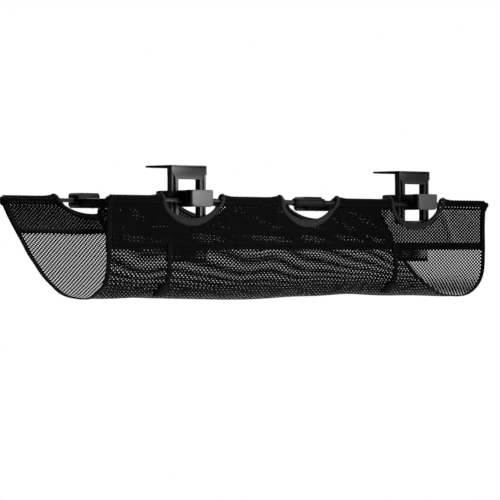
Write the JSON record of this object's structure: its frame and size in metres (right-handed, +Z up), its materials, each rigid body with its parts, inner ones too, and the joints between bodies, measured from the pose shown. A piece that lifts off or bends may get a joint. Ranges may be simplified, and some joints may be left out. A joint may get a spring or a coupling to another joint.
{
  "type": "under-desk cable tray",
  "caption": "Black mesh sling for cables on two rods, hung under a desktop by sliding edge clamps with push-button ratchet jaws.",
  "frame": {"origin": "midway between the clamps, on the desktop's edge face and its underside", "axes": "+X along the desk's edge to the right, +Y back under the desktop, +Z up"},
  "size_m": [0.606, 0.213, 0.1483],
  "materials": {
    "clamp_frame": "satin black moulding",
    "moulding": "fine textured black moulding",
    "grey_button": "satin grey moulding",
    "rubber": "matt",
    "steel": "zinc plated",
    "rod": "semi-gloss black coat",
    "arm": "powder coat",
    "mesh": "knitted polyester mesh",
    "tape": "folded binding tape",
    "webbing": "woven webbing"
  },
  "bodies": {
    "tray": {"mesh_sling": "mesh", "left_edge_tape": "mesh", "right_edge_tape": "mesh", "front_seam_tape": "mesh", "rear_seam_tape": "mesh", "left_patch": "mesh", "right_patch": "mesh", "left_load_strap": "webbing", "right_load_strap": "webbing", "left_strap_tab": "webbing", "right_strap_tab": "webbing", "front_cutout_tape_left": "tape", "front_cutout_tape_middle": "tape", "front_cutout_tape_right": "tape", "rear_cutout_tape_left": "tape", "rear_cutout_tape_middle": "tape", "rear_cutout_tape_right": "tape", "front_rod_left": "rod", "front_rod_right": "rod", "front_cap_left": "moulding", "front_cap_right": "moulding", "front_coupler": "moulding", "rear_rod_left": "rod", "rear_rod_right": "rod", "rear_cap_left": "moulding", "rear_cap_right": "moulding", "rear_coupler": "moulding"},
    "left_carriage": {"left_jaw": "moulding", "left_lower_pad": "rubber", "left_arm": "arm", "left_rear_holder": "moulding", "left_pawl_spring": "steel", "left_arm_screw_1": "steel", "left_arm_screw_2": "steel", "left_arm_screw_3": "steel", "left_arm_screw_4": "steel"},
    "left_frame": {"left_clamp_frame": "clamp_frame", "left_upper_pad": "rubber"},
    "left_button": {"left_release_button": "grey_button"},
    "left_pawl_a": {"left_pawl_inner": "steel"},
    "left_pawl_b": {"left_pawl_outer": "steel"},
    "right_carriage": {"right_jaw": "moulding", "right_lower_pad": "rubber", "right_arm": "arm", "right_rear_holder": "moulding", "right_pawl_spring": "steel", "right_arm_screw_1": "steel", "right_arm_screw_2": "steel", "right_arm_screw_3": "steel", "right_arm_screw_4": "steel"},
    "right_frame": {"right_clamp_frame": "clamp_frame", "right_upper_pad": "rubber"},
    "right_button": {"right_release_button": "grey_button"},
    "right_pawl_a": {"right_pawl_inner": "steel"},
    "right_pawl_b": {"right_pawl_outer": "steel"}
  },
  "joints": [
    {"name": "left_clamp_shift", "type": "slide", "parent": "tray", "child": "left_carriage", "axis": [1, 0, 0], "range_m": [-0.015, 0.015]},
    {"name": "left_clamp_height", "type": "slide", "parent": "left_carriage", "child": "left_frame", "axis": [0, 0, 1], "range_m": [-0.012, 0.012]},
    {"name": "left_button_press", "type": "slide", "parent": "left_carriage", "child": "left_button", "axis": [0, 1, 0], "range_m": [0, 0.003], "stiffness_N_per_m": 400, "springref_m": -0.002, "deforming": ["left_pawl_spring"]},
    {"name": "left_pawl_a_slide", "type": "slide", "parent": "left_carriage", "child": "left_pawl_a", "axis": [-1, 0, 0], "range_m": [0, 0.0015]},
    {"name": "left_pawl_b_slide", "type": "slide", "parent": "left_carriage", "child": "left_pawl_b", "axis": [1, 0, 0], "range_m": [0, 0.0015]},
    {"name": "right_clamp_shift", "type": "slide", "parent": "tray", "child": "right_carriage", "axis": [1, 0, 0], "range_m": [-0.015, 0.015]},
    {"name": "right_clamp_height", "type": "slide", "parent": "right_carriage", "child": "right_frame", "axis": [0, 0, 1], "range_m": [-0.012, 0.012]},
    {"name": "right_button_press", "type": "slide", "parent": "right_carriage", "child": "right_button", "axis": [0, 1, 0], "range_m": [0, 0.003], "stiffness_N_per_m": 400, "springref_m": -0.002, "deforming": ["right_pawl_spring"]},
    {"name": "right_pawl_a_slide", "type": "slide", "parent": "right_carriage", "child": "right_pawl_a", "axis": [1, 0, 0], "range_m": [0, 0.0015]},
    {"name": "right_pawl_b_slide", "type": "slide", "parent": "right_carriage", "child": "right_pawl_b", "axis": [-1, 0, 0], "range_m": [0, 0.0015]}
  ],
  "couplings": [
    {"joint": "left_pawl_a_slide", "follows": "left_button_press", "ratio": 0.5},
    {"joint": "left_pawl_b_slide", "follows": "left_button_press", "ratio": 0.5},
    {"joint": "right_pawl_a_slide", "follows": "right_button_press", "ratio": 0.5},
    {"joint": "right_pawl_b_slide", "follows": "right_button_press", "ratio": 0.5}
  ]
}
